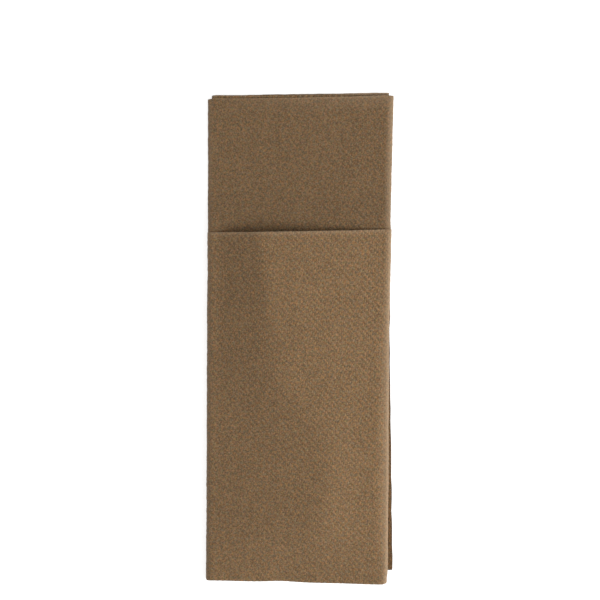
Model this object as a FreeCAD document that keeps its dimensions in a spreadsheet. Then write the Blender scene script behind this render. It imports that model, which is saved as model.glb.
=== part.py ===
"""Folded paper napkin with an open pocket across its front, lying flat.

The sheet is folded lengthwise first: its lower part is turned up over the back, and the end of that
part is turned in again as a hem, so the strip has three layers and a rounded mouth. The strip is then
folded across twice, into four panels: front, second, third and rear. The front panel's turned-up
part bulges a little, so the pocket stands open. Above the mouth only the four backs are left, and
they settle onto each other. Nothing is cut: the whole napkin is one solid.

Millimetres. +Z is up, through the layers; +Y runs from the closed foot to the cut head; +X is right.
"""

import FreeCAD, Part
import math
import os

import Sketcher

V = FreeCAD.Vector

# Driving sizes, each with its cell's alias. Angles are in degrees.
SIZES = {
    # the unfolded sheet
    "sheet_width": 300,
    "sheet_length": 400,
    "paper_thick": 0.35,
    "layer_gap": 0.2,
    # how far the hemmed mouth lies below the cut head of the back
    "mouth_drop": 55.4,
    # the front panel: how much narrower its foot is than a quarter of the sheet
    "front_trim": 0.3,
    # right fold: front panel to second panel
    "right_lean": 0.87,
    "right_foot": -0.95,
    "right_head": 0.2,
    # left fold: front panel round to the rear panel, outside the other two
    "left_lean": 0.25,
    "left_foot": 0.8,
    "left_head": -0.8,
    # inner fold: second panel to third, inside the left fold
    "inner_inset": 0.3,
    "inner_lean": 0.3,
    "inner_foot": 3.0,
    "inner_head": 0.6,
    # free edge of the third panel, which shows behind the right fold
    "third_overhang": 2.4,
    "third_lean": -0.31,
    "third_foot": 5.1,
    "third_head": 1.5,
    # bulge of the pocket front
    "crown_height": 6.4,
    "crown_run": 26,
    # how the backs settle: how far above the highest mouth, over what length, and the air they keep
    "settle_start": 2.1,
    "settle_run": 15,
    "head_air": 0.95,
}


def make_sizes(doc):
    """The spreadsheet with one named cell for each driving size."""
    sheet = doc.addObject("Spreadsheet::Sheet", "Sizes")
    for row, (name, size) in enumerate(SIZES.items(), start=1):
        sheet.set(f"A{row}", name)
        sheet.set(f"B{row}", str(size))
        sheet.setAlias(f"B{row}", name)
    doc.recompute()
    return sheet


def make_fold_lines(doc):
    """Sizes that follow from the driving ones, held as named properties.

    Every fold line and free edge is a station. A station has the X of its fold axis at the foot line,
    the Y of the bottom fold there, its lean, the lengths of back, pocket front and hem, the lift of
    the pocket front, and the places where the back starts to settle and where it comes to rest.
    """
    lines = doc.addObject("App::VarSet", "Lines")

    def derive(name, formula):
        lines.addProperty("App::PropertyFloat", name, "Lines")
        lines.setExpression(name, formula)

    derive("strip_thick", "3 * Sizes.paper_thick + 2 * Sizes.layer_gap")
    derive("hem_turn", "2 * Sizes.paper_thick + Sizes.layer_gap")
    derive("tight_core", "Sizes.layer_gap / 2")
    derive("tight_far", "Lines.tight_core + Lines.strip_thick")
    derive("wide_core", "Lines.strip_thick + 1.5 * Sizes.layer_gap")
    derive("core_axis", "2 * Lines.strip_thick + 1.5 * Sizes.layer_gap")
    derive("upper_axis", "Lines.core_axis + Lines.strip_thick + Sizes.layer_gap")
    derive("back_core", "Lines.tight_far - Sizes.paper_thick")

    # The same fold axes and cores where the backs have settled above the mouth.
    derive("head_core", "Sizes.head_air / 2")
    derive("head_wide", "Lines.head_core + Sizes.paper_thick + Sizes.layer_gap")
    derive("head_core_axis", "Lines.head_wide + Sizes.paper_thick")
    derive(
        "head_upper_axis",
        "Lines.head_core_axis + Lines.head_core + Sizes.paper_thick + Lines.tight_core",
    )
    derive("upper_fall", "Lines.upper_axis - Lines.head_upper_axis")
    derive("lower_fall", "Lines.core_axis - Lines.wide_core - Lines.head_core_axis + Lines.head_wide")

    derive("back_height", "Sizes.sheet_length / 2")
    derive("front_half", "(Sizes.sheet_width / 4 - Sizes.front_trim) / 2")
    # The third panel has the highest mouth, and all the backs settle from one line above it.
    derive(
        "settle_line",
        "Lines.back_height + Sizes.third_head - Sizes.mouth_drop + Sizes.settle_start",
    )

    derive("left_x", "Lines.wide_core + Lines.strip_thick - Lines.front_half")
    derive("right_x", "Lines.front_half - Lines.tight_core - Lines.strip_thick")
    derive("inner_x", "Lines.left_x + Sizes.inner_inset")
    derive("third_x", "Lines.front_half + Sizes.third_overhang")

    stations = ("right", "left", "inner", "third")
    for name in stations:
        derive(f"{name}_foot", f"Sizes.{name}_foot")
        derive(f"{name}_lean", f"Sizes.{name}_lean")
        derive(f"{name}_lift", "0")
        derive(
            f"{name}_back",
            f"(Lines.back_height + Sizes.{name}_head - Sizes.{name}_foot) / cos(Sizes.{name}_lean)",
        )
        derive(f"{name}_mid", f"Lines.{name}_x + Lines.back_height / 2 * tan(Sizes.{name}_lean)")

    # The rear panel takes what is left of the sheet's width, measured halfway up the pocket front's layer.
    derive("skin_depth", "Lines.strip_thick - Sizes.paper_thick / 2")
    derive("right_turn", "pi * (Lines.tight_core + Lines.skin_depth)")
    derive("inner_turn", "pi * (Lines.tight_far - Lines.skin_depth)")
    derive("left_turn", "pi * (Lines.wide_core + Lines.skin_depth)")
    derive("front_width", "Lines.right_mid - Lines.left_mid")
    derive("second_width", "Lines.right_mid - Lines.inner_mid")
    derive("third_width", "Lines.third_mid - Lines.inner_mid")
    derive(
        "rear_width",
        "Sizes.sheet_width - Lines.front_width - Lines.second_width - Lines.third_width"
        " - Lines.right_turn - Lines.inner_turn - Lines.left_turn",
    )

    # The section halfway between the left and the right fold, where the pocket front bulges most.
    for value in ("x", "foot", "lean", "back"):
        derive(f"middle_{value}", f"(Lines.left_{value} + Lines.right_{value}) / 2")
    derive("middle_lift", "Sizes.crown_height")

    for name in (*stations, "middle"):
        derive(f"{name}_pocket", f"Lines.{name}_back - Sizes.mouth_drop")
        derive(f"{name}_hem", f"Sizes.sheet_length - Lines.{name}_back - Lines.{name}_pocket")
        for place, reach in (("bend", ""), ("rest", " + Sizes.settle_run")):
            derive(
                f"{name}_{place}",
                f"(Lines.settle_line{reach} - Lines.{name}_foot) / cos(Lines.{name}_lean)",
            )
    doc.recompute()
    return lines


def origin_plane(body, role):
    """One of the body's own planes."""
    for feature in body.Origin.OriginFeatures:
        if feature.Role == role:
            return feature
    raise ValueError(f"no {role}")


def strip_section(body, name, station, axis, core, above, side, fall=None):
    """Section through the strip's three layers, in the upright plane of one station's line.

    The sketch's X runs up the line from the bottom fold and its Y is up, from the height of the named
    axis. The back's outer face lies at the distance named by core, over the axis where above is 1 and
    under it where above is -1. The pocket front lies over the back where side is 1, else under it.
    Where fall names a height, the back settles by it above the mouth and runs on to the head; else
    the back ends where it would start to settle.
    """
    sizes = body.Document.Sizes
    lines = body.Document.Lines
    bend = getattr(lines, f"{station}_bend")
    mouth = getattr(lines, f"{station}_pocket")
    hem = getattr(lines, f"{station}_hem")
    lift = getattr(lines, f"{station}_lift")
    start = above * getattr(lines, core)
    thick = sizes.paper_thick
    foot_turn = lines.strip_thick / 2
    hem_turn = lines.hem_turn
    bevel = hem_turn / 4

    # Places along the strip, from the bottom fold.
    foot_x = foot_turn
    run_x = foot_x + sizes.crown_run
    nose_x = mouth
    mouth_x = nose_x - hem_turn / 2
    hem_x = nose_x - hem

    sketch = body.newObject("Sketcher::SketchObject", name)
    sketch.AttachmentSupport = [(origin_plane(body, "YZ_Plane"), "")]
    sketch.MapMode = "FlatFace"
    sketch.AttachmentOffset = FreeCAD.Placement(V(0, 0, 0), FreeCAD.Rotation(V(0, -1, 0), 1))
    sketch.setExpression("AttachmentOffset.Base.x", f"Lines.{station}_foot")
    sketch.setExpression("AttachmentOffset.Base.y", f"Lines.{axis}")
    sketch.setExpression(
        "AttachmentOffset.Base.z",
        f"Lines.{station}_x + Lines.{station}_foot * tan(Lines.{station}_lean)",
    )
    sketch.setExpression("AttachmentOffset.Rotation.Angle", f"Lines.{station}_lean")

    # Depths through the strip, from the back's outer face.
    back_inner = thick
    hem_outer = lines.strip_thick - hem_turn
    hem_inner = hem_outer + thick
    front_inner = lines.strip_thick - thick
    front_outer = lines.strip_thick

    def point(x, depth):
        return V(x, start + side * depth, 0)

    edges = []

    def line(first, second):
        edges.append(sketch.addGeometry(Part.LineSegment(first, second)))

    def curve(first, first_pull, second_pull, second):
        """Smooth curve between two points, pulled along the strip at each end."""
        poles = [first, first + V(first_pull, 0, 0), second + V(second_pull, 0, 0), second]
        spline = Part.BSplineCurve()
        spline.buildFromPolesMultsKnots(poles, [4, 4], [0, 1], False, 3)
        edges.append(sketch.addGeometry(spline))

    def swell(first, second):
        """The pocket front's rise out of the bottom fold: straight where nothing is lifted."""
        if lift == 0:
            line(first, second)
        else:
            pull = (second.x - first.x) / 2
            curve(first, pull, -pull, second)

    def settled(x, depth):
        return V(x, start + side * depth - getattr(lines, fall), 0)

    if fall:
        back = getattr(lines, f"{station}_back")
        rest = getattr(lines, f"{station}_rest")
        line(settled(back, 0), settled(rest, 0))
        line(settled(rest, 0), point(bend, 0))
    line(point(bend, 0), point(foot_x, 0))
    round_pull = -foot_turn * 4 / 3
    curve(point(foot_x, 0), round_pull, round_pull, point(foot_x, front_outer))
    swell(point(foot_x, front_outer), point(run_x, front_outer + lift))
    line(point(run_x, front_outer + lift), point(mouth_x, front_outer + lift))
    # the mouth is pressed to a crease, so it is drawn as a bevelled nose
    line(point(mouth_x, front_outer + lift), point(nose_x, front_outer - bevel + lift))
    line(point(nose_x, front_outer - bevel + lift), point(nose_x, hem_outer + bevel + lift))
    line(point(nose_x, hem_outer + bevel + lift), point(mouth_x, hem_outer + lift))
    line(point(mouth_x, hem_outer + lift), point(hem_x, hem_outer + lift))
    line(point(hem_x, hem_outer + lift), point(hem_x, hem_inner + lift))
    line(point(hem_x, hem_inner + lift), point(mouth_x, hem_inner + lift))
    line(point(mouth_x, hem_inner + lift), point(mouth_x, front_inner + lift))
    line(point(mouth_x, front_inner + lift), point(run_x, front_inner + lift))
    swell(point(run_x, front_inner + lift), point(foot_x, front_inner))
    line(point(foot_x, front_inner), point(foot_x, back_inner))
    line(point(foot_x, back_inner), point(bend, back_inner))
    if fall:
        line(point(bend, back_inner), settled(rest, back_inner))
        line(settled(rest, back_inner), settled(back, back_inner))
        line(settled(back, back_inner), settled(back, 0))
    else:
        line(point(bend, back_inner), point(bend, 0))

    add = sketch.addConstraint
    for this, following in zip(edges, edges[1:] + edges[:1]):
        add(Sketcher.Constraint("Coincident", this, 2, following, 1))
    if fall:
        head_out, slope_out = edges[:2]
        slope_in, head_in = edges[-3:-1]
        edges = edges[2:-3] + edges[-1:]
        for edge in (head_out, head_in):
            add(Sketcher.Constraint("Horizontal", edge))

    (
        back_out, foot_out, swell_out, front_out, bevel_front, nose, bevel_hem, hem_out, hem_end,
        hem_in, mouth_in, front_in, swell_in, foot_in, back_in, back_end,
    ) = edges

    for edge in (back_out, front_out, hem_out, hem_in, front_in, back_in):
        add(Sketcher.Constraint("Horizontal", edge))
    if lift == 0:
        add(Sketcher.Constraint("Horizontal", swell_out))
    for edge in (nose, hem_end, back_end, mouth_in, foot_in):
        add(Sketcher.Constraint("Vertical", edge))
    for first, second in (
        ((foot_out, 1), (foot_out, 2)),
        ((foot_in, 1), (foot_out, 2)),
        ((bevel_front, 1), (bevel_hem, 2)),
        ((mouth_in, 1), (bevel_hem, 2)),
        ((swell_out, 2), (swell_in, 1)),
    ):
        add(Sketcher.Constraint("Vertical", *first, *second))
    if fall:
        add(Sketcher.Constraint("Vertical", slope_out, 1, slope_in, 2))
        add(Sketcher.Constraint("Vertical", slope_out, 2, slope_in, 1))

    def bind(kind, first, second, size, name, formula):
        """A named distance between two points, bound to its formula."""
        index = add(Sketcher.Constraint(kind, *first, *second, size))
        sketch.renameConstraint(index, name)
        sketch.setExpression(f"Constraints.{name}", formula)

    def through(first, second, size, name, formula):
        """A named depth between two points, the first of them nearer the back."""
        low, high = (first, second) if side > 0 else (second, first)
        bind("DistanceY", low, high, size, name, formula)

    origin = (-1, 1)
    low, high = (origin, (back_out, 2)) if above > 0 else ((back_out, 2), origin)
    bind("DistanceY", low, high, abs(start), "level", f"Lines.{core}")
    bind("DistanceX", origin, (back_out, 1), bend, "bend", f"Lines.{station}_bend")
    if fall:
        bind("DistanceX", origin, (slope_out, 1), rest, "rest", f"Lines.{station}_rest")
        bind("DistanceX", origin, (head_out, 1), back, "back", f"Lines.{station}_back")
        bind("DistanceY", (slope_out, 1), (slope_out, 2), getattr(lines, fall), "fall", f"Lines.{fall}")
        through((slope_out, 2), (slope_in, 1), thick, "bend_thick", "Sizes.paper_thick")
    bind("DistanceX", origin, (foot_out, 1), foot_x, "foot", "Lines.strip_thick / 2")
    bind("DistanceX", (foot_out, 1), (swell_out, 2), run_x - foot_x, "run", "Sizes.crown_run")
    bind("DistanceX", origin, (nose, 1), nose_x, "mouth", f"Lines.{station}_pocket")
    bind("DistanceX", (bevel_front, 1), (nose, 1), hem_turn / 2, "nose", "Lines.hem_turn / 2")
    bind("DistanceX", (hem_end, 1), (nose, 1), hem, "hem", f"Lines.{station}_hem")

    through((foot_out, 1), (foot_out, 2), lines.strip_thick, "strip", "Lines.strip_thick")
    through((bevel_hem, 2), (bevel_front, 1), hem_turn, "turn", "Lines.hem_turn")
    through((nose, 1), (bevel_front, 1), bevel, "front_bevel", "Lines.hem_turn / 4")
    through((bevel_hem, 2), (nose, 2), bevel, "hem_bevel", "Lines.hem_turn / 4")
    through((back_end, 2), (back_end, 1), thick, "back_thick", "Sizes.paper_thick")
    through((hem_end, 1), (hem_end, 2), thick, "hem_thick", "Sizes.paper_thick")
    through((foot_in, 1), (foot_out, 2), thick, "foot_thick", "Sizes.paper_thick")
    through((mouth_in, 2), (bevel_front, 1), thick, "mouth_thick", "Sizes.paper_thick")
    if lift != 0:
        through((swell_out, 1), (swell_out, 2), lift, "lift", f"Lines.{station}_lift")
    return sketch


def turn_section(body, name, station, place, axis, core, to_right):
    """Section through the back alone where it goes round a fold, above the mouth.

    The sketch stands across the station's line at the named place, its origin on the named axis and
    its Y up. The layer goes half round the origin, at the distance named by core.
    """
    sketch = body.newObject("Sketcher::SketchObject", name)
    sketch.AttachmentSupport = [(origin_plane(body, "XZ_Plane"), "")]
    sketch.MapMode = "FlatFace"
    sketch.AttachmentOffset = FreeCAD.Placement(V(0, 0, 0), FreeCAD.Rotation(V(0, -1, 0), 1))
    sketch.setExpression(
        "AttachmentOffset.Base.x",
        f"Lines.{station}_x + Lines.{station}_foot * tan(Lines.{station}_lean)"
        f" + Lines.{station}_{place} * sin(Lines.{station}_lean)",
    )
    sketch.setExpression("AttachmentOffset.Base.y", f"Lines.{axis}")
    sketch.setExpression(
        "AttachmentOffset.Base.z",
        f"-Lines.{station}_foot - Lines.{station}_{place} * cos(Lines.{station}_lean)",
    )
    sketch.setExpression("AttachmentOffset.Rotation.Angle", f"Lines.{station}_lean")

    inside = getattr(body.Document.Lines, core)
    outside = inside + body.Document.Sizes.paper_thick
    first = -math.pi / 2 if to_right else math.pi / 2
    up = 1 if to_right else -1
    middle = V(0, 0, 0)

    def arc(radius):
        circle = Part.Circle(middle, V(0, 0, 1), radius)
        return sketch.addGeometry(Part.ArcOfCircle(circle, first, first + math.pi))

    outer = arc(outside)
    inner = arc(inside)
    ends = {
        1: sketch.addGeometry(Part.LineSegment(V(0, -up * outside, 0), V(0, -up * inside, 0))),
        2: sketch.addGeometry(Part.LineSegment(V(0, up * outside, 0), V(0, up * inside, 0))),
    }
    add = sketch.addConstraint
    for edge in (outer, inner):
        add(Sketcher.Constraint("Coincident", edge, 3, -1, 1))
        add(Sketcher.Constraint("PointOnObject", edge, 1, -2))
        add(Sketcher.Constraint("PointOnObject", edge, 2, -2))
    for end, cut in ends.items():
        add(Sketcher.Constraint("Coincident", cut, 1, outer, end))
        add(Sketcher.Constraint("Coincident", cut, 2, inner, end))
    for edge, name, radius, formula in (
        (inner, "inside", inside, f"Lines.{core}"),
        (outer, "outside", outside, f"Lines.{core} + Sizes.paper_thick"),
    ):
        index = add(Sketcher.Constraint("Radius", edge, radius))
        sketch.renameConstraint(index, name)
        sketch.setExpression(f"Constraints.{name}", formula)
    return sketch


def panel(body, name, sections):
    """One panel of the strip, drawn through the sections at its two ends and between them."""
    loft = body.newObject("PartDesign::AdditiveLoft", name)
    loft.Profile = sections[0]
    loft.Sections = [(section, [""]) for section in sections[1:]]
    loft.Ruled = len(sections) == 2
    body.Document.recompute()


def half_turn(body, name, section, to_right):
    """The fold that carries the strip from one panel round to the one below it."""
    fold = body.newObject("PartDesign::Revolution", name)
    fold.Profile = section
    fold.ReferenceAxis = (section, ["H_Axis"])
    fold.Angle = 180
    fold.Reversed = not to_right
    body.Document.recompute()


def settled_turn(body, name, station, axes, cores, to_right):
    """The same fold above the mouth, where the back alone goes round it and settles.

    It runs from the first axis and core named to the second ones, and keeps those up to the head.
    """
    sections = [
        turn_section(body, name + "Bend", station, "bend", axes[0], cores[0], to_right),
        turn_section(body, name + "Rest", station, "rest", axes[1], cores[1], to_right),
        turn_section(body, name + "Head", station, "back", axes[1], cores[1], to_right),
    ]
    body.Document.recompute()
    fold = body.newObject("PartDesign::AdditiveLoft", name)
    fold.Profile = sections[0]
    fold.Sections = [(section, [""]) for section in sections[1:]]
    fold.Ruled = True
    body.Document.recompute()


def napkin(doc):
    """The whole folded sheet, panel by panel from the front one down."""
    body = doc.addObject("PartDesign::Body", "Napkin")
    body.Label = "napkin"

    upper = "upper_fall"
    lower = "lower_fall"
    front_left = strip_section(body, "FrontAtLeft", "left", "core_axis", "wide_core", 1, 1, upper)
    middle = strip_section(body, "Middle", "middle", "core_axis", "wide_core", 1, 1, upper)
    front_right = strip_section(body, "FrontAtRight", "right", "upper_axis", "tight_core", 1, 1, upper)
    second_right = strip_section(body, "SecondAtRight", "right", "upper_axis", "tight_core", -1, -1, upper)
    second_left = strip_section(body, "SecondAtLeft", "inner", "core_axis", "tight_far", 1, -1, upper)
    third_left = strip_section(body, "ThirdAtLeft", "inner", "core_axis", "tight_far", -1, 1, lower)
    third_edge = strip_section(body, "ThirdEdge", "third", "core_axis", "tight_far", -1, 1, lower)
    rear_left = strip_section(body, "RearAtLeft", "left", "core_axis", "wide_core", -1, -1, lower)
    round_right = strip_section(body, "RoundRight", "right", "upper_axis", "tight_core", 1, 1)
    round_inner = strip_section(body, "RoundInner", "inner", "core_axis", "tight_far", 1, -1)
    round_left = strip_section(body, "RoundLeft", "left", "core_axis", "wide_core", 1, 1)
    doc.recompute()

    upper_axes = ("upper_axis", "head_upper_axis")
    core_axes = ("core_axis", "head_core_axis")
    panel(body, "FrontPanel", [front_left, middle, front_right])
    half_turn(body, "RightFold", round_right, True)
    settled_turn(body, "RightHead", "right", upper_axes, ("tight_core", "tight_core"), True)
    panel(body, "SecondPanel", [second_right, second_left])
    half_turn(body, "InnerFold", round_inner, False)
    settled_turn(body, "InnerHead", "inner", core_axes, ("back_core", "head_core"), False)
    panel(body, "ThirdPanel", [third_left, third_edge])
    half_turn(body, "LeftFold", round_left, False)
    settled_turn(body, "LeftHead", "left", core_axes, ("wide_core", "head_wide"), False)
    rear = body.newObject("PartDesign::Pad", "RearPanel")
    rear.Profile = rear_left
    rear.setExpression("Length", "Lines.rear_width")
    doc.recompute()
    return body


def centre(body):
    """Put the middle of the underside's outline at the part's origin."""
    box = body.Shape.optimalBoundingBox(False, False)
    body.Placement = FreeCAD.Placement(V(-box.Center.x, -box.Center.y, -box.ZMin), FreeCAD.Rotation())
    body.Document.recompute()


def check(doc):
    """Stop if any object is in error or the part's shape is unsound."""
    for item in doc.Objects:
        if "Invalid" in item.State or "Error" in item.State:
            raise ValueError(f"{item.Name} is in error")
    for item in doc.Objects:
        if item.isDerivedFrom("PartDesign::Feature") and (item.Shape.isNull() or not item.Shape.isValid()):
            raise ValueError(f"{item.Name} has no valid shape")


def main():
    doc = FreeCAD.newDocument("napkin")
    make_sizes(doc)
    make_fold_lines(doc)
    body = napkin(doc)
    centre(body)
    check(doc)
    if len(body.Shape.Solids) != 1:
        raise ValueError("the napkin is not one solid")
    os.makedirs("parts", exist_ok=True)
    body.Shape.exportStep(os.path.join("parts", body.Label + ".step"))


main()
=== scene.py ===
"""Folded paper napkin with an open pocket across its front, lying flat on a white floor.

The sheet is one closed mesh, built as the real one is folded. A section runs along the strip: head,
back, foot fold, pocket front, mouth fold and hem. It is carried across the sheet through four panels
and three cross folds: third panel, inner fold, second, right fold, front, left fold and rear. A place
in the sheet is given by its panel or fold, its Y and its depth through the strip's layers.

Millimetres until the mesh is made; Blender's own metres after that. Soft departures from a straight
line or an even form are given as tuples: a rise is (amount, start, run), a dent (amount, centre, half).
"""

import math

import bpy
import numpy as np
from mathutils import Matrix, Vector


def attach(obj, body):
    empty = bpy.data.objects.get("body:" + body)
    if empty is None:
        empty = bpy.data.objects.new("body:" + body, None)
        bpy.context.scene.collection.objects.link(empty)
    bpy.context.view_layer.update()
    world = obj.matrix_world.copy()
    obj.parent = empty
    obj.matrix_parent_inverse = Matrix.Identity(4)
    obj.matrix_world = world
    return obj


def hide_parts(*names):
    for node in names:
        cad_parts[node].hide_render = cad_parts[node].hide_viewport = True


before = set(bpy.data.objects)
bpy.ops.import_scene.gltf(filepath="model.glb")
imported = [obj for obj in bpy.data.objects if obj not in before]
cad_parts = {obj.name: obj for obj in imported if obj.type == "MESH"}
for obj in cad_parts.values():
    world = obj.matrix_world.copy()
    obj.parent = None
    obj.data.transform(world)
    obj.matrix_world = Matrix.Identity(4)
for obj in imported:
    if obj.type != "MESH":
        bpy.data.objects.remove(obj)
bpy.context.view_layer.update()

MM = 0.001

# Thickness of the paper and of the air between loose layers.
PAPER = 0.35
LOOSE = 0.2

# Depths through the strip at which the back, the hem and the pocket front begin and end.
STRIP = 3 * PAPER + 2 * LOOSE
HEM_LOW = PAPER + LOOSE
HEM_HIGH = HEM_LOW + PAPER
FRONT_LOW = HEM_HIGH + LOOSE
KNOTS = (0.0, PAPER, HEM_LOW, HEM_HIGH, FRONT_LOW, STRIP)

# The panels' head and foot lines: Y at each fold or free edge, given at this X on either side.
HEAD = {"third_edge": 101.62, "inner": 100.5, "right": 100.4, "left": 99.15, "rear_edge": 99.5}
FOOT = {"third_edge": -95.65, "inner": -96.6, "right": -101.36, "left": -99.66, "rear_edge": -98.2}
HALF_WIDTH = 37.0

# How far the mouth lies below the head, and the hem's end below the mouth.
MOUTH_DROP = 55.4
HEM_LENGTH = 55.0

# Each panel's two ends, in the order in which the sheet runs through them.
PANELS = {
    "third": ("third_edge", "inner"),
    "second": ("inner", "right"),
    "front": ("right", "left"),
    "rear": ("left", "rear_edge"),
}

# Each cross fold's lower and upper panel.
FOLDS = {"inner": ("third", "second"), "right": ("second", "front"), "left": ("rear", "front")}

# The panels from the floor up, and whether each lies with its pocket down.
STACK = ("rear", "third", "second", "front")
FACE_DOWN = {"rear": True, "third": False, "second": True, "front": False}

# Reach of each cross fold beyond its axis. A layer inside the outermost one reaches less for each
# millimetre that it lies under that one, down to a least reach.
REACH = {"inner": 1.9, "right": 1.9, "left": 2.7}
PINCH = 0.42
LEAST_REACH = 0.25

# Power of the sine round a cross fold: under 1, the fold is squarer than half an ellipse.
FOLD_POWER = 0.9

# Reach of the foot and mouth folds beyond their axes, and how much less the sheet's inner face has.
FOOT_REACH = 0.8
MOUTH_REACH = 0.55
INNER_INSET = 0.3

# How far each cross fold's corners round off at the head and at the foot, and the start and run of that.
HEAD_DIP = {"left": 0.5, "inner": 0.2, "right": 0.15}
FOOT_DIP = {"left": 0.0, "inner": 0.0, "right": 0.5}
HEAD_CORNER = (90, 10)
FOOT_CORNER = (97, 3)

# The front panel's cut head sags, and its foot rises and has one dent at a share of the way across.
HEAD_SAG = 0.25
FOOT_RISE = 0.12
FOOT_DENT = (0.3, 0.6, 0.09)

# Straight lines of the outline: X at some Y, that Y, and the change of X for each millimetre of Y.
POCKET_LINE = {
    "right": (36.3, -95, 0.0105),
    "left": (-38.07, 40, 0.0031),
    "inner": (-36.5, 0, 0.002),
    "rear_edge": (35.7, 0, 0.002),
}
HEAD_LINE = {"right": (37.57, 48.9, 0.0268), "left": (-37.84, 0, 0), "inner": (-36.2, 0, 0)}

# The right fold's departures from its line: a waist from one Y to another, and others.
WAIST = 0.24
WAIST_SPAN = (-62, 42)
RIGHT_DENT = (0.18, -3, 14)
RIGHT_LOWER = (0.22, 60, 40)
RIGHT_CORNER = (0.25, 95.5, 4)
RIGHT_UPPER = (0.15, 20, 15)

# The left fold's departures from its line.
LEFT_DENT = (0.15, 28, 8)
LEFT_LOWER = (0.12, 70, 20)

# The third panel's free edge: X at its top, how far it spreads and bows out on its way down, and its dent.
THIRD_X = 37.1
THIRD_TOP = 101
THIRD_LENGTH = 196
THIRD_LIMIT = 1.1
THIRD_SPREAD = 1.42
THIRD_BOW = 0.21
THIRD_DENT = (0.22, -2, 14)

# Where the outline passes from the pocket's line to the head's above the mouth.
STEP_START = 0.3
STEP_RUN = 3.2

# How far a free edge draws in for each millimetre of depth.
EDGE_SLANT = 0.25

# Where a cross fold narrows to a single layer, from just below the mouth.
NARROW_START = -3
NARROW_RUN = 8

# Unevenness of the outline's sides and of its head and foot, each with a share of beads in it.
WOBBLE = {"third_edge": 0.12, "inner": 0.07, "right": 0.07, "left": 0.07, "rear_edge": 0.07}
WOBBLE_BEAD = 0.9
SCALLOP = 0.08
SCALLOP_BEAD = 0.06

# Beads that the embossing leaves on every edge: their pitch, and their size and how much that changes.
BEAD = 2.69
BEAD_SIZE = 0.6
BEAD_CHANGE = 0.5

# The bulge's crest: its line and the Y between which it holds, then its way to the right and back again.
CREST_LINE = (-16.3, 42.3, -0.1)
CREST_SPAN = (-5, 43)
CREST_CROSSING = (23, 5, 45)
CREST_RETURN = (3.8, 55, 25)

# The bulge's height, the waves in it, and its start and run up from the foot.
BULGE_HEIGHT = 6.4
BULGE_WAVE = 0.3
BULGE_START = 1
BULGE_RUN = 27

# Where the bulge changes from its lower to its upper form.
CHANGE_START = -60
CHANGE_RUN = 100

# Shares of the even swell and of the ridge on it, in the lower and in the upper form.
SWELL_SHARE = (0.4, 0.34)
RIDGE_SHARE = (0.6, 0.82)
SWELL_POWER = 1.2

# The ridge: its start beside the left fold, how soft its crest is, and how much softer where it crosses over.
RIDGE_INSET = 1.2
RIDGE_BLEND = 0.08
CROSSING_BLEND = (0.12, -18, 22)

# The level strip beside the right fold in the lower form: share of the ridge's height, and its place.
LEVEL_SHARE = 0.5
LEVEL_RISE = 2.6
LEVEL_INSET = 3
LEVEL_WIDTH = 9

# Above the mouth the panels are single layers and settle onto each other: the start and run of that.
SETTLE_START = 1
SETTLE_RUN = 17

# How gently the layers above each hidden hem's edge come down past it.
HEM_FADE = {"rear": 26, "third": 38, "second": 32}

# The cross folds and the foot hold the stack up: the X and Y that they reach, and the runs in from there.
HELD_SIDE = 36
HELD_SIDE_RUN = 9
HELD_FOOT = -98
HELD_FOOT_RUN = 14

# Air between the layers of a strip, and what is left of the hem and its air where there is no hem.
BACK_AIR = 0.07
BACK_AIR_SLACK = 0.2
HEM_AIR = 0.05
HEM_AIR_SLACK = 0.12
HEM_LEFT = 0.12
HEM_AIR_LEFT = 0.2

# Air under the sheet and between the panels, with more of it over the third panel's head.
FLOOR_GAP = 0.02
PANEL_GAP = 0.1
PANEL_GAP_WAVE = 0.12
HEAD_GAP = (0.08, 50, 45)

# How far the third panel's free edge hangs down past the rear panel's, and how much less above the mouth.
DROOP = 0.8
DROOP_START = 35.4
DROOP_RUN = 1.2
DROOP_LESS = (0.4, 38, 12)

# Small puckers of the sheet: their height, and the Z up to which there are none.
PUCKER = 0.035
PUCKER_ABOVE = 1

# The mesh is shaded as sharp where its faces meet at more than this, in degrees.
SHARP_ANGLE = 50

# Length of each zone of the strip in the unfolded sheet, and how many rows of the mesh it has.
ZONE_LENGTH = {
    "head": MOUTH_DROP,
    "back": 144.6,
    "foot": 2.3,
    "front": 144.0,
    "mouth": 1.4,
    "hem": HEM_LENGTH,
}
ROWS = {"head": 60, "back": 30, "foot": 8, "front": 160, "mouth": 8, "hem": 14}

# Columns of the mesh across the sheet, and where each panel and cross fold begins in the unfolded sheet.
COLUMNS = (
    ("panel", "third", 40),
    ("fold", "inner", 8),
    ("panel", "second", 12),
    ("fold", "right", 12),
    ("panel", "front", 65),
    ("fold", "left", 12),
    ("panel", "rear", 14),
)
RUN_START = {"third": 0, "inner": 75, "second": 80, "right": 155, "front": 158, "left": 232, "rear": 238}
PANEL_RUN = 74.0
FOLD_RUN = 4.0

# How far a sum of waves goes, for each root of their number.
WAVE_PEAK = 1.4

rng = np.random.default_rng(7)


def make_waves(count, shortest, longest):
    """Directions, lengths and phases of a few slow waves."""
    angle = rng.uniform(0, math.pi, count)
    length = rng.uniform(shortest, longest, count)
    return np.stack([np.cos(angle) / length, np.sin(angle) / length, rng.uniform(0, 1, count)])


PANEL_WAVES = {name: make_waves(6, 22, 70) for name in STACK}
BULGE_WAVES = make_waves(7, 24, 60)
PUCKER_WAVES = make_waves(9, 7, 16)
EDGE_WAVES = {name: make_waves(5, 4, 22) for name in HEAD}
HEAD_WAVES = make_waves(5, 6, 30)
FOOT_WAVES = make_waves(5, 6, 30)


def ripple(waves, x, y):
    """Sum of slow waves at a place, about -1 to 1."""
    total = 0
    for across, along, phase in waves.T:
        total = total + np.sin(2 * math.pi * (across * x + along * y + phase))
    return total / len(waves.T) ** 0.5 / WAVE_PEAK


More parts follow.
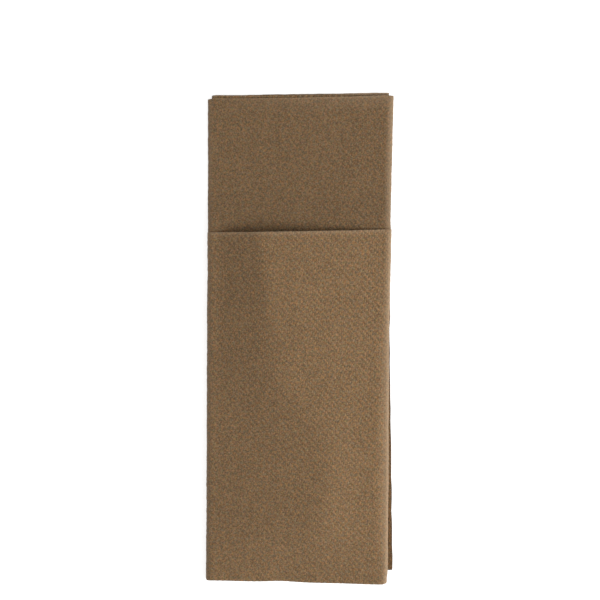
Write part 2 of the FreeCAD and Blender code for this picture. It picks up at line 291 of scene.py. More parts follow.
def smooth(t):
    """Smooth step from 0 to 1."""
    t = np.clip(t, 0.0, 1.0)
    return t * t * (3 - 2 * t)


def rise(place, amount, start, run):
    """0 up to a start, then rising smoothly to an amount over a run."""
    return amount * smooth((place - start) / run)


def dent(place, amount, centre, half):
    """An amount at a centre, fading to about a third of it at half on either side."""
    return amount * np.exp(-(((place - centre) / half) ** 2))


def fade_up(y, start, run):
    """1 below a start, falling to 0 over the run above it."""
    return 1 - smooth((y - start) / run)


def between(pair, share):
    """Value at a share of the way from the first of two to the second."""
    first, second = pair
    return first + (second - first) * share


def line_x(line, y):
    """X of a straight line of the outline."""
    x, at, lean = line
    return x + lean * (y - at)


def along_panel(panel, table, x):
    """Y at x of a head or foot line, which runs straight between a panel's two ends."""
    first, second = PANELS[panel]
    left, right = (first, second) if first in ("inner", "left") else (second, first)
    return between((table[left], table[right]), (x + HALF_WIDTH) / (2 * HALF_WIDTH))


def mouth_at(name):
    """Y of the pocket's mouth at a cross fold or free edge."""
    return HEAD[name] - MOUTH_DROP


def side_of(name):
    """Direction in X in which a fold or free edge faces."""
    return -1 if name in ("left", "inner") else 1


def beads(run, phase, waves):
    """Beads that the embossing leaves along an edge, larger in some places than in others."""
    return np.cos(2 * math.pi * (run / BEAD + phase)) * (BEAD_SIZE + BEAD_CHANGE * ripple(waves, 3 * run, 0))


def wobble(name, y):
    """Small unevenness of an edge: slow waves and beads."""
    waves = EDGE_WAVES[name]
    first_phase = waves[2][0]
    return WOBBLE[name] * (ripple(waves, y, y) + WOBBLE_BEAD * beads(y, first_phase, waves))


def scallop(run, waves):
    """Small waves and beads of the cut head or of the foot fold across the sheet."""
    return SCALLOP * ripple(waves, run, 0) + SCALLOP_BEAD * beads(run, 0, waves)


def right_edge(y):
    """X of the right fold, which has a waist and a rounded lower corner."""
    low, high = WAIST_SPAN
    waist = WAIST * np.sin(math.pi * (y - low) / (high - low)) + dent(y, *RIGHT_DENT)
    lower = rise(-y, *RIGHT_LOWER) + rise(-y, *RIGHT_CORNER)
    return line_x(POCKET_LINE["right"], y) - waist - lower + rise(y, *RIGHT_UPPER)


def left_edge(y):
    """X of the left fold."""
    return line_x(POCKET_LINE["left"], y) + dent(y, *LEFT_DENT) - rise(-y, *LEFT_LOWER)


def third_edge(y):
    """X of the third panel's free edge, which spreads out on its way down."""
    down = np.clip((THIRD_TOP - y) / THIRD_LENGTH, 0, THIRD_LIMIT)
    return THIRD_X + THIRD_SPREAD * down ** 3 + THIRD_BOW * np.sin(math.pi * down) - dent(y, *THIRD_DENT)


def pocket_edge(name, y):
    """X of a fold's or free edge's outline where the pocket is."""
    curved = {"right": right_edge, "left": left_edge, "third_edge": third_edge}
    if name in curved:
        return curved[name](y)
    return line_x(POCKET_LINE[name], y)


def head_edge(name, y):
    """X of the same outline above the mouth, where the strip is a single layer."""
    if name in HEAD_LINE:
        return line_x(HEAD_LINE[name], y)
    return pocket_edge(name, y)


def outline(name, y):
    """X of the outermost surface at a fold or free edge."""
    above = smooth((y - mouth_at(name) - STEP_START) / STEP_RUN)
    return pocket_edge(name, y) * (1 - above) + head_edge(name, y) * above + side_of(name) * wobble(name, y)


def axis_x(name, y):
    """X of a cross fold's axis, inside the pocket's outline. Above the mouth it keeps its X."""
    return pocket_edge(name, np.minimum(y, mouth_at(name))) - side_of(name) * REACH[name]


def end_x(name, y, depth):
    """X where a panel ends: at the fold's axis, or at a free edge."""
    if name in REACH:
        return axis_x(name, y)
    return outline(name, y) - EDGE_SLANT * depth


def crest_x(y):
    """X of the bulge's crest: left of the middle at the mouth, right of it nearer the foot."""
    upper = line_x(CREST_LINE, np.clip(y, *CREST_SPAN))
    return upper + rise(-y, *CREST_CROSSING) - rise(-y, *CREST_RETURN)


def soft_least(first, second, blend):
    """Lesser of two values, rounded where they meet."""
    least = np.minimum(first, second)
    return least - blend * np.log(np.exp((least - first) / blend) + np.exp((least - second) / blend))


def soft_floor(value, blend=0.05):
    """Value, turning smoothly to 0 as it falls to it; 1 stays 1."""
    def bend(v):
        return (v + np.sqrt(v * v + blend)) / 2 - math.sqrt(blend) / 2
    return np.maximum(bend(value), 0) / bend(1.0)


def ridge(x, y, left, right, up):
    """The bulge's soft ridge, about 1 at its crest; the level strip beside the right fold is part of it."""
    crest = crest_x(y)
    level = LEVEL_SHARE * (1 - up)
    level_end = right - LEVEL_INSET - LEVEL_WIDTH * (1 - up)
    rise_left = soft_floor((x - left - RIDGE_INSET) / (crest - left - RIDGE_INSET))
    fall = soft_floor((level_end - x) / (level_end - crest))
    rise_right = level * smooth((right - x) / LEVEL_RISE) + (1 - level) * fall
    blend = RIDGE_BLEND + dent(y, *CROSSING_BLEND)
    return np.maximum(soft_least(rise_left, rise_right, blend), 0)


def crown(x, y):
    """Height of the pocket front's bulge over the back: an even swell with a soft ridge on it."""
    left = axis_x("left", y)
    right = axis_x("right", y)
    middle = (left + right) / 2
    swell = np.clip(1 - ((x - middle) / (right - middle)) ** 2, 0, 1) ** SWELL_POWER
    up = smooth((y - CHANGE_START) / CHANGE_RUN)
    shape = between(SWELL_SHARE, up) * swell + between(RIDGE_SHARE, up) * ridge(x, y, left, right, up)
    along = smooth((y - along_panel("front", FOOT, x) - BULGE_START) / BULGE_RUN)
    return along * (BULGE_HEIGHT * shape + BULGE_WAVE * swell * ripple(BULGE_WAVES, x, y))


def free_of_folds(x, y):
    """1 in the middle of the stack, 0 beside the cross folds and the foot, whose spring holds it up."""
    return smooth((HELD_SIDE - np.abs(x)) / HELD_SIDE_RUN) * smooth((y - HELD_FOOT) / HELD_FOOT_RUN)


def steps(panel, x, y, sunk=True):
    """Thickness of a panel's back, of the air over it, of its hem, the air over that and its pocket front.

    Past its hem a hidden strip is one layer thinner. The pocket front doesn't follow: it spans the gap.
    """
    mouth = along_panel(panel, HEAD, x) - MOUTH_DROP
    front = fade_up(y, mouth + SETTLE_START, SETTLE_RUN)
    hem = front
    if panel in HEM_FADE and sunk:
        past = fade_up(y, mouth - HEM_LENGTH - HEM_FADE[panel], HEM_FADE[panel])
        hem = front * (1 - past * free_of_folds(x, y))
    slack = 0.5 + 0.5 * ripple(PANEL_WAVES[panel], x, y)
    lift = crown(x, y) + span_gap(x, y) if panel == "front" else 0
    return (
        PAPER + 0 * y,
        BACK_AIR + BACK_AIR_SLACK * slack * front + lift,
        PAPER * between((HEM_LEFT, 1), hem),
        (HEM_AIR + HEM_AIR_SLACK * slack) * between((HEM_AIR_LEFT, 1), hem),
        PAPER * front,
    )


def span_gap(x, y):
    """How far the layers under the pocket front have sunk past the hidden hems."""
    return sum(sum(steps(below, x, y, False)) - sum(steps(below, x, y)) for below in HEM_FADE)


def depth_height(thicknesses, depth):
    """Height over the back's outer face of a place at some depth through the strip."""
    total = 0
    for low, high, thick in zip(KNOTS, KNOTS[1:], thicknesses):
        total = total + thick * np.clip((depth - low) / (high - low), 0, 1)
    return total


def third_droop(x, y):
    """How far the third panel hangs down at its free edge."""
    return smooth((x - DROOP_START) / DROOP_RUN) * (DROOP - rise(y, *DROOP_LESS))


def height(panel, x, y, depth):
    """Z of a place in a panel: what lies under the panel, and its own depth."""
    base = FLOOR_GAP
    for below in STACK[:STACK.index(panel)]:
        gap = PANEL_GAP + PANEL_GAP_WAVE * (1 + ripple(PANEL_WAVES[below], y, x))
        if below == "third":
            gap = gap + rise(y, *HEAD_GAP)
        base = base + sum(steps(below, x, y)) + gap
    thicknesses = steps(panel, x, y)
    own = depth_height(thicknesses, depth)
    if FACE_DOWN[panel]:
        own = sum(thicknesses) - own
    droop = third_droop(x, y) if panel == "third" else 0
    return base - droop + own


def panel_place(panel, share, y, depth):
    """Place in a panel at a share of the way between its ends."""
    first, second = PANELS[panel]
    x = end_x(first, y, depth) * (1 - share) + end_x(second, y, depth) * share
    return x, y, height(panel, x, y, depth)


def fold_place(name, turn, y, depth):
    """Place in a cross fold: turn runs from 0 at the lower panel to pi at the upper one."""
    lower, upper = FOLDS[name]
    x = axis_x(name, y)
    low = height(lower, x, y, depth)
    high = height(upper, x, y, depth)
    above = smooth((y - mouth_at(name) - NARROW_START) / NARROW_RUN)
    outermost = between((STRIP, PAPER), above)
    reach = np.abs(outline(name, y) - x) - PINCH * np.maximum(outermost - depth, 0)
    out = np.sin(turn) ** FOLD_POWER
    dip = rise(-y, FOOT_DIP[name], *FOOT_CORNER) - rise(y, HEAD_DIP[name], *HEAD_CORNER)
    return (
        x + side_of(name) * np.maximum(reach, LEAST_REACH) * out,
        y + out * dip,
        (low + high) / 2 - (high - low) / 2 * np.cos(turn),
    )


def section_rows():
    """Rows along the strip: the zone each is in and how far through it."""
    rows = [(zone, share) for zone, count in ROWS.items() for share in np.linspace(0, 1, count + 1)[:-1]]
    return rows + [("hem", 1.0)]


def section_place(zone, share, head, foot, outer):
    """Y and depth of a row, for the outer or the inner face, between given head and foot lines."""
    mouth = head - MOUTH_DROP
    mouth_axis = mouth - MOUTH_REACH
    foot_axis = foot + FOOT_REACH
    turn = math.pi * share
    inset = 0 if outer else INNER_INSET
    if zone == "head":
        return head + (mouth - head) * share, (0.0 if outer else PAPER)
    if zone == "back":
        return mouth + (foot_axis - mouth) * share, (0.0 if outer else PAPER)
    if zone == "foot":
        middle = STRIP / 2
        half = middle if outer else middle - PAPER
        return foot_axis - (FOOT_REACH - inset) * math.sin(turn), middle - half * math.cos(turn)
    if zone == "front":
        return foot_axis + (mouth_axis - foot_axis) * share, (STRIP if outer else FRONT_LOW)
    if zone == "mouth":
        middle = (HEM_LOW + STRIP) / 2
        half = middle - HEM_LOW if outer else LOOSE / 2
        return mouth_axis + (MOUTH_REACH - inset) * math.sin(turn), middle + half * math.cos(turn)
    return mouth_axis - HEM_LENGTH * share, (HEM_LOW if outer else HEM_HIGH)


def column_list():
    """Columns across the sheet: panel or fold, and how far through it. A fold's ends are its panels' ends."""
    columns = []
    for kind, name, count in COLUMNS:
        shares = np.linspace(0, 1, count + 1)
        if kind == "fold":
            shares = shares[1:-1]
        columns += [(kind, name, share) for share in shares]
    return columns


def column_ends(kind, name, share):
    """Y of the head and of the foot at one column."""
    if kind == "panel":
        first, second = PANELS[name]
        head = HEAD[first] * (1 - share) + HEAD[second] * share
        foot = FOOT[first] * (1 - share) + FOOT[second] * share
    else:
        head = HEAD[name]
        foot = FOOT[name]
    if name == "front":
        head = head - HEAD_SAG * math.sin(math.pi * share)
        foot = foot + FOOT_RISE * math.sin(math.pi * share) + dent(share, *FOOT_DENT)
    run = RUN_START[name] + share * (PANEL_RUN if kind == "panel" else FOLD_RUN)
    return head + scallop(run, HEAD_WAVES), foot + scallop(run, FOOT_WAVES)


def column_places(kind, name, share, rows, outer):
    """Points down one column, for the outer or the inner face of the sheet."""
    head, foot = column_ends(kind, name, share)
    pairs = [section_place(zone, along, head, foot, outer) for zone, along in rows]
    y, depth = np.array(pairs).T
    if kind == "panel":
        x, y, z = panel_place(name, share, y, depth)
    else:
        turn = math.pi * (1 - share if name == "left" else share)
        x, y, z = fold_place(name, turn, y, depth)
    return np.stack([x, y, z], axis=1)


def run_along(rows):
    """Distance of each row along the strip, in the unfolded sheet."""
    start = {}
    total = 0
    for zone, length in ZONE_LENGTH.items():
        start[zone] = total
        total += length
    return np.array([start[zone] + ZONE_LENGTH[zone] * share for zone, share in rows])


def run_across(middle):
    """Distance of each column across the sheet, in the unfolded sheet."""
    step = np.linalg.norm(np.diff(middle, axis=0), axis=2).mean(axis=1)
    return np.concatenate([[0], np.cumsum(step)])


def sheet_faces(wide, tall):
    """Quads of the outer face, of the inner face turned over, and of the rim that joins the two."""
    inner = wide * tall
    index = np.arange(inner).reshape(wide, tall)
    a = index[:-1, :-1].ravel()
    b = index[1:, :-1].ravel()
    c = index[1:, 1:].ravel()
    d = index[:-1, 1:].ravel()
    faces = [np.stack([a, b, c, d], axis=1), np.stack([d, c, b, a], axis=1) + inner]
    for rim in (index[:, 0], index[::-1, -1], index[0, ::-1], index[-1, :]):
        faces.append(np.stack([rim[1:], rim[:-1], rim[:-1] + inner, rim[1:] + inner], axis=1))
    return np.concatenate(faces)


def build_sheet():
    """The whole folded sheet as one closed mesh."""
    rows = section_rows()
    columns = column_list()
    outer = np.stack([column_places(*column, rows, True) for column in columns])
    inner = np.stack([column_places(*column, rows, False) for column in columns])
    middle = (outer + inner) / 2
    across = run_across(middle)[:, None]
    along = run_along(rows)[None, :]
    pucker = PUCKER * ripple(PUCKER_WAVES, across, along)
    for layer in (outer, inner):
        layer[..., 2] += pucker * np.where(layer[..., 2] > PUCKER_ABOVE, 1, 0)

    mesh = bpy.data.meshes.new("napkin_sheet")
    points = np.concatenate([outer.reshape(-1, 3), inner.reshape(-1, 3)]) * MM
    mesh.from_pydata(points.tolist(), [], sheet_faces(len(columns), len(rows)).tolist())
    mesh.validate()
    store_places(mesh, columns, across, along, middle)
    # Wear and painted highlight at folds, mouth and cut edges, and painted shade at the third panel's free
    # edge.
    store_value(mesh, "wear_and_highlight", wear_and_highlight_of(columns, rows, middle))
    store_value(mesh, "painted_shade", painted_shade_of(columns, middle))
    mesh.polygons.foreach_set("use_smooth", [True] * len(mesh.polygons))
    mesh.set_sharp_from_angle(angle=math.radians(SHARP_ANGLE))
    napkin = bpy.data.objects.new("napkin_sheet", mesh)
    bpy.context.scene.collection.objects.link(napkin)
    return napkin


# Wear and painted highlight of each cross fold: how pale its crest is, and how far in from the outline that
# fades.
# The right fold, which faces the lamp, has the most painted highlight; the rest is pale wear.
FOLD_WEAR_AND_HIGHLIGHT = {"right": 1.0, "left": 0.42, "inner": 0.2}
FOLD_PALE_WIDTH = {"right": 2.9, "left": 2.3, "inner": 2.0}

# Painted highlight on the mouth's fold, and on the lip of the pocket front below it, over a share of the
# front's length.
MOUTH_HIGHLIGHT = 0.9
LIP_HIGHLIGHT = 0.36
LIP_RUN = 0.009

# Painted highlight on the front panel's cut edge, from right to left, and on the head below it, over a share
# of the head.
HEAD_EDGE_HIGHLIGHT = (0.6, 0.25)
HEAD_BAND_HIGHLIGHT = 0.3
HEAD_RUN = 0.12

# Painted highlight on the third panel's cut edge, which lightens the shadow there and fades to its left by
# this power.
THIRD_EDGE_HIGHLIGHT = 0.85
THIRD_RUN = 0.03
THIRD_FADE = 0.25

# Where shade is painted on the third panel's free edge, under the right fold: from an X over a run, and up to
# a Y with a fade above it.
EDGE_SHADE_START = 34
EDGE_SHADE_RUN = 2
EDGE_SHADE_TOP = 40
EDGE_SHADE_FADE = 20


def lip_highlight(zone, along):
    """How much highlight is painted on the mouth's fold and the lip below it."""
    if zone == "mouth":
        return max(MOUTH_HIGHLIGHT * math.sin(math.pi * along), LIP_HIGHLIGHT * (1 - along))
    if zone == "front" and along > 1 - LIP_RUN:
        return LIP_HIGHLIGHT * (along - 1 + LIP_RUN) / LIP_RUN
    return 0


def head_highlight(name, share, along):
    """How much highlight is painted on the head, at a share of the way across a panel and some way down from
    the cut edge.
    """
    if name == "front" and along == 0:
        return between(HEAD_EDGE_HIGHLIGHT, share)
    if name == "front" and along < HEAD_RUN:
        return HEAD_BAND_HIGHLIGHT * (1 - share) * (1 - along / HEAD_RUN)
    # Painted highlight on the third panel's head strip, against the shadow of the front's head edge.
    if name == "third" and along < THIRD_RUN:
        return THIRD_EDGE_HIGHLIGHT * (1 - share) ** THIRD_FADE
    return 0


def wear_and_highlight_of(columns, rows, place):
    """How pale each place is, from wear and painted highlight: 1 along the right fold's crest, less at the
    mouth and the cut head.
    """
    value = np.zeros(place.shape[:2])
    for i, (kind, name, share) in enumerate(columns):
        x, y = place[i, :, 0], place[i, :, 1]
        if name in ("front", "second") or kind == "fold":
            fold = name if kind == "fold" else "right"
            inward = np.abs(outline(fold, y) - x)
            value[i] = FOLD_WEAR_AND_HIGHLIGHT[fold] * np.clip(1 - inward / FOLD_PALE_WIDTH[fold], 0, 1)
        for j, (zone, along) in enumerate(rows):
            paleness = head_highlight(name, share, along) if zone == "head" else lip_highlight(zone, along)
            value[i, j] = max(value[i, j], paleness)
    return value


def painted_shade_of(columns, place):
    """How much shade is painted on the third panel's free edge, in the crevice under the right fold: 1 where
    it is darkest.
    """
    value = np.zeros(place.shape[:2])
    for i, (kind, name, share) in enumerate(columns):
        if name == "third":
            x, y = place[i, :, 0], place[i, :, 1]
            value[i] = smooth((x - EDGE_SHADE_START) / EDGE_SHADE_RUN) * fade_up(y, EDGE_SHADE_TOP, EDGE_SHADE_FADE)
    return value


# Third coordinate of the inner face's flat places, so that its fibres aren't those of the outer face.
INNER_FACE = 40.0


def store_places(mesh, columns, across, along, middle):
    """Keep each vertex's place in the unfolded sheet and in the twill, which runs on from the front panel."""
    start = columns.index(("panel", "front", 0.0))
    twill_x = middle[start, :, 0].mean() - (across - across[start])
    store_vector(mesh, "flat", across, along, INNER_FACE)
    store_vector(mesh, "emboss", twill_x, middle[..., 1], 0.0)


def store_vector(mesh, name, first, second, inner_third):
    """Keep a vector for each vertex, in millimetres: two coordinates, and a third one on the inner face."""
    pairs = np.stack(np.broadcast_arrays(first, second), axis=-1).reshape(-1, 2)
    third = np.repeat([0.0, inner_third], len(pairs))
    values = np.concatenate([np.tile(pairs, (2, 1)), third[:, None]], axis=1)
    attribute = mesh.attributes.new(name, "FLOAT_VECTOR", "POINT")
    attribute.data.foreach_set("vector", values.astype(np.float32).ravel())


def store_value(mesh, name, values):
    """Keep a value for each vertex, the same on both faces."""
    attribute = mesh.attributes.new(name, "FLOAT", "POINT")
    attribute.data.foreach_set("value", np.tile(values.ravel(), 2).astype(np.float32))


class Nodes:
    """Small helper that adds and links shader nodes."""

    def __init__(self, material):
        material.use_nodes = True
        self.tree = material.node_tree
        self.tree.nodes.clear()

    def add(self, kind, **settings):
        """New node with its settings."""
        node = self.tree.nodes.new(kind)
        for key, value in settings.items():
            setattr(node, key, value)
        return node

    def feed(self, socket, value):
        """Link an output to a socket, or set the socket to a number or colour."""
        if isinstance(value, bpy.types.NodeSocket):
            self.tree.links.new(value, socket)
        else:
            socket.default_value = value

    def math(self, operation, first, second=0.0):
        """Sum, power or the like of two values, or a function of the first alone."""
        node = self.add("ShaderNodeMath", operation=operation)
        self.feed(node.inputs[0], first)
        self.feed(node.inputs[1], second)
        return node.outputs[0]

    def product(self, first, *others):
        """Product of several values."""
        for other in others:
            first = self.math("MULTIPLY", first, other)
        return first

    def attribute(self, name):
        """Node that reads what the mesh stores for each vertex."""
        return self.add("ShaderNodeAttribute", attribute_name=name)

    def parts(self, vector):
        """The three coordinates of a vector."""
        node = self.add("ShaderNodeSeparateXYZ")
        self.feed(node.inputs[0], vector)
        return node.outputs

    def shifted(self, vector, offset):
        """The same coordinates moved aside, so that a second noise doesn't follow the first."""
        node = self.add("ShaderNodeVectorMath", operation="ADD")
        self.feed(node.inputs[0], vector)
        self.feed(node.inputs[1], (offset, offset * 0.7, offset * 1.3))
        return node.outputs[0]

    def noise(self, vector, scale, detail, roughness):
        """Noise from 0 to 1."""
        node = self.add("ShaderNodeTexNoise")
        settings = {"Vector": vector, "Scale": scale, "Detail": detail, "Roughness": roughness}
        for key, value in settings.items():
            self.feed(node.inputs[key], value)
        return node.outputs["Fac"]

    def spread(self, value, low, high, to_low=0.0, to_high=1.0):
        """Value between two limits, carried smoothly to two others."""
        node = self.add("ShaderNodeMapRange", interpolation_type="SMOOTHSTEP")
        self.feed(node.inputs["Value"], value)
        limits = {"From Min": low, "From Max": high, "To Min": to_low, "To Max": to_high}
        for key, number in limits.items():
            self.feed(node.inputs[key], number)
        return node.outputs["Result"]

    def mix(self, share, first, second, blend="MIX"):
        """Mix of two colours, which are the sockets 6 and 7 of the node."""
        node = self.add("ShaderNodeMix", data_type="RGBA", blend_type=blend)
        self.feed(node.inputs[0], share)
        self.feed(node.inputs[6], first)
        self.feed(node.inputs[7], second)
        return node.outputs[2]

    def shaded(self, colour, value):
        """Colour made darker or paler by a value about 1."""
        grey = self.add("ShaderNodeCombineColor")
        for socket in grey.inputs:
            self.feed(socket, value)
        return self.mix(1.0, colour, grey.outputs[0], "MULTIPLY")

    def finish(self, surface):
        """Make a shader the material's surface."""
        self.feed(self.add("ShaderNodeOutputMaterial").inputs["Surface"], surface)


def linear(red, green, blue):
    """Linear colour of an sRGB one given as 0 to 255."""
    def one(value):
        value = value / 255
        return value / 12.92 if value <= 0.04045 else ((value + 0.055) / 1.055) ** 2.4
    return (one(red), one(green), one(blue), 1.0)


# Twill of raised dots: waves across its two sets of rows, in cycles per millimetre of X and of Y.
ROW_WAVE = (0.4135, 0.3788)
BEAD_WAVE = (0.8350, -0.3544)
ROW_SHARPNESS = 1.4
BEAD_DEPTH = 0.27
TWILL_HEIGHT = 1.28

# How deep the twill is: uneven, deeper to the right and towards the mouth, and shallow on the inner face.
# A spread is (from low, from high, to low, to high). The last two are 0 and 1 where they are left out.
TWILL_UNEVEN = (0.3, 0.7, 0.7, 1.15)
TWILL_ACROSS = (-36.0, 34.0, 0.5, 1.2)
TWILL_UP = (-95.0, 45.0, 0.8, 1.25)
TWILL_INSIDE = (0.0, INNER_FACE, 1.0, 0.44)

# Noises: scale, detail and roughness.
UNEVEN_NOISE = (0.22, 3, 0.5)
CLUMP_NOISE = (0.8, 3, 0.6)
FIBRE_NOISE = (2.2, 3, 0.65)
TINT_NOISE = (0.85, 3, 0.65)
HUE_NOISE = (1.0, 3, 0.65)
SPECKLE_NOISE = (2.0, 2, 0.6)

# Heights of the fibres and of their clumps beside the twill's, and what a height of 1 is in metres.
FIBRE_HEIGHT = 1.1
CLUMP_HEIGHT = 0.5
RELIEF = 0.14 * MM

# Two browns and two hues that the fibres mix, the colour and share of wear and painted highlight on crests
# and edges, and the tint of painted shade at the third panel's free edge.
BROWNS = (linear(114, 97, 70), linear(130, 96, 64))
HUES = ((1.03, 1.0, 0.83, 1.0), (0.98, 1.0, 1.17, 1.0))
WEAR_AND_HIGHLIGHT_COLOUR = linear(190, 163, 134)
WEAR_AND_HIGHLIGHT_SHARE = 0.5
# Tint of painted shade at the third panel's free edge.
PAINTED_SHADE_TINT = (0.66, 0.6, 0.5, 1.0)

# How the colour follows the noises, with painted shade on the inner face and painted light on the twill's
# dots, and how far aside two noises lie.
MIX_SPREAD = (0.34, 0.66)
SPECKLE = (0.28, 0.72, 0.58, 1.42)
INSIDE_PAINTED_SHADE = (0.0, INNER_FACE, 1.0, 0.87)
TWILL_PAINTED_LIGHT = (0.0, 1.0, 0.94, 1.1)
HUE_ASIDE = 17.0
SPECKLE_ASIDE = 31.0

PAPER_FINISH = {"Roughness": 0.92, "Specular IOR Level": 0.25, "Sheen Weight": 0.08, "Sheen Roughness": 0.6}


def cosine_wave(nodes, x, y, wave):
    """Wave from -1 to 1 across the sheet's face."""
    turns_x = nodes.math("MULTIPLY", x, wave[0] * 2 * math.pi)
    turns_y = nodes.math("MULTIPLY", y, wave[1] * 2 * math.pi)
    return nodes.math("COSINE", nodes.math("ADD", turns_x, turns_y))


def twill(nodes, flat, face):
    """Height of the embossed dots."""
    x, y, _ = nodes.parts(nodes.attribute("emboss").outputs["Vector"])
    row = nodes.math("MULTIPLY", nodes.math("ADD", cosine_wave(nodes, x, y, ROW_WAVE), 1.0), 0.5)
    row = nodes.math("POWER", row, ROW_SHARPNESS)
    bead = nodes.math("MULTIPLY", cosine_wave(nodes, x, y, BEAD_WAVE), BEAD_DEPTH)
    bead = nodes.math("ADD", bead, 1 - BEAD_DEPTH)
    uneven = nodes.spread(nodes.noise(flat, *UNEVEN_NOISE), *TWILL_UNEVEN)
    across = nodes.spread(x, *TWILL_ACROSS)
    up = nodes.spread(y, *TWILL_UP)
    inside = nodes.spread(face, *TWILL_INSIDE)
    return nodes.product(row, bead, uneven, across, up, inside, TWILL_HEIGHT)


def paper_relief(nodes, flat, dots):
    """Surface direction with the twill, the fibres and their clumps."""
    fibre = nodes.product(nodes.noise(flat, *FIBRE_NOISE), FIBRE_HEIGHT)
    clump = nodes.product(nodes.noise(flat, *CLUMP_NOISE), CLUMP_HEIGHT)
    bump = nodes.add("ShaderNodeBump")
    nodes.feed(bump.inputs["Strength"], 1.0)
    nodes.feed(bump.inputs["Distance"], RELIEF)
    nodes.feed(bump.inputs["Height"], nodes.math("ADD", nodes.math("ADD", dots, fibre), clump))
    return bump.outputs["Normal"]


def paper_colour(nodes, flat, face, dots):
    """Brown, mottled and speckled by the fibres; painted paler on the twill's dots and with wear and painted
    highlight on crests and edges, and painted darker on the inner face and at the third panel's free edge.
    """
    brown = nodes.spread(nodes.noise(flat, *TINT_NOISE), *MIX_SPREAD)
    hue = nodes.spread(nodes.noise(nodes.shifted(flat, HUE_ASIDE), *HUE_NOISE), *MIX_SPREAD)
    speckle = nodes.spread(nodes.noise(nodes.shifted(flat, SPECKLE_ASIDE), *SPECKLE_NOISE), *SPECKLE)
    colour = nodes.mix(1.0, nodes.mix(brown, *BROWNS), nodes.mix(hue, *HUES), "MULTIPLY")
    colour = nodes.shaded(colour, speckle)
    # Painted shade on the inner face, which shows at the head above the pocket.
    colour = nodes.shaded(colour, nodes.spread(face, *INSIDE_PAINTED_SHADE))
    # Painted highlight on the tops of the twill's dots, and painted shade between them.
    colour = nodes.shaded(colour, nodes.spread(dots, *TWILL_PAINTED_LIGHT))
    # Pale wear and painted highlight at the folds, the mouth and the cut edges.
    paleness = nodes.product(nodes.attribute("wear_and_highlight").outputs["Fac"], WEAR_AND_HIGHLIGHT_SHARE)
    colour = nodes.mix(paleness, colour, WEAR_AND_HIGHLIGHT_COLOUR)
    # Painted shade at the third panel's free edge, under the right fold.
    return nodes.mix(nodes.attribute("painted_shade").outputs["Fac"], colour, PAINTED_SHADE_TINT, "MULTIPLY")


def paper_material():
    """Unbleached airlaid paper: brown, mottled by its fibres, and embossed with a fine twill of dots."""
    material = bpy.data.materials.new("napkin_paper")
    nodes = Nodes(material)
    flat = nodes.attribute("flat").outputs["Vector"]
    face = nodes.parts(flat)[2]
    dots = twill(nodes, flat, face)
    shader = nodes.add("ShaderNodeBsdfPrincipled")
    nodes.feed(shader.inputs["Base Color"], paper_colour(nodes, flat, face, dots))
    nodes.feed(shader.inputs["Normal"], paper_relief(nodes, flat, dots))
    for key, value in PAPER_FINISH.items():
        nodes.feed(shader.inputs[key], value)
    nodes.finish(shader.outputs[0])
    return material


# The floor, the lamp and the sky, in metres and watts.
FLOOR_HALF = 4.0
FLOOR_COLOUR = (0.86, 0.86, 0.86, 1)
FLOOR_GLOW = 0.6
LAMP_PLACE = (1.35, -0.4, 1.0)
LAMP_SIZE = 0.8
LAMP_POWER = 24
SKY_STRENGTH = 0.6


def floor_material():
    """White floor that keeps a soft shadow, with a glow of its own that only camera and glossy rays see."""
    material = bpy.data.materials.new("floor_white")
    nodes = Nodes(material)
    base = nodes.add("ShaderNodeBsdfDiffuse")
    nodes.feed(base.inputs["Color"], FLOOR_COLOUR)
    seen = nodes.add("ShaderNodeLightPath").outputs
    share = nodes.math("MAXIMUM", seen["Is Camera Ray"], seen["Is Glossy Ray"])
    glow = nodes.add("ShaderNodeEmission")
    nodes.feed(glow.inputs["Strength"], nodes.product(share, FLOOR_GLOW))
    both = nodes.add("ShaderNodeAddShader")
    nodes.feed(both.inputs[0], base.outputs[0])
    nodes.feed(both.inputs[1], glow.outputs[0])
    nodes.finish(both.outputs[0])
    return material


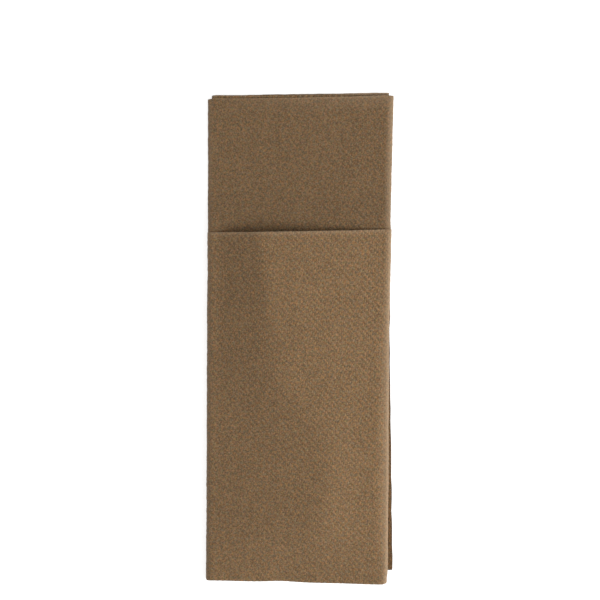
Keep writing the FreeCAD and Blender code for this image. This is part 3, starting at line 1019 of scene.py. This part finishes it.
def make_floor():
    """Wide white floor under the sheet."""
    mesh = bpy.data.meshes.new("floor")
    corners = [(x * FLOOR_HALF, y * FLOOR_HALF, 0) for x, y in ((-1, -1), (1, -1), (1, 1), (-1, 1))]
    mesh.from_pydata(corners, [], [(0, 1, 2, 3)])
    floor = bpy.data.objects.new("floor", mesh)
    bpy.context.scene.collection.objects.link(floor)
    mesh.materials.append(floor_material())


def make_lights():
    """Large soft lamp to the right and above, and an even sky."""
    data = bpy.data.lights.new("key", "AREA")
    data.shape = "DISK"
    data.size = LAMP_SIZE
    data.energy = LAMP_POWER
    lamp = bpy.data.objects.new("key", data)
    lamp.location = LAMP_PLACE
    lamp.rotation_euler = (-Vector(LAMP_PLACE)).to_track_quat("-Z", "Y").to_euler()
    bpy.context.scene.collection.objects.link(lamp)

    world = bpy.data.worlds.new("sky")
    bpy.context.scene.world = world
    world.use_nodes = True
    sky = world.node_tree.nodes["Background"]
    sky.inputs["Color"].default_value = (1, 1, 1, 1)
    sky.inputs["Strength"].default_value = SKY_STRENGTH


# The photograph's frame: its pixels across, millimetres for each one, and the place at its centre.
PHOTO_SIZE = 600
PHOTO_SCALE = 0.412
PHOTO_CENTRE = (0.2, 15.9)

# In metres: the camera's height over the floor, the height at which the photograph's scale holds, and the
# farthest that the camera sees.
CAMERA_HEIGHT = 1.2
SCALE_HEIGHT = 5 * MM
CLIP_END = 20

# Sensor's width in millimetres.
SENSOR = 36


def make_camera():
    """Camera straight above, with the photograph's frame."""
    data = bpy.data.cameras.new("camera")
    data.sensor_width = SENSOR
    data.lens = SENSOR * (CAMERA_HEIGHT - SCALE_HEIGHT) / (PHOTO_SIZE * PHOTO_SCALE * MM)
    data.clip_end = CLIP_END
    camera = bpy.data.objects.new("camera", data)
    camera.location = (PHOTO_CENTRE[0] * MM, PHOTO_CENTRE[1] * MM, CAMERA_HEIGHT)
    bpy.context.scene.collection.objects.link(camera)
    bpy.context.scene.camera = camera


napkin = build_sheet()
napkin.data.materials.append(paper_material())
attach(napkin, "root")
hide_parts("napkin")
make_floor()
make_lights()
make_camera()
bpy.context.scene.view_settings.view_transform = "Standard"

bpy.context.view_layer.update()
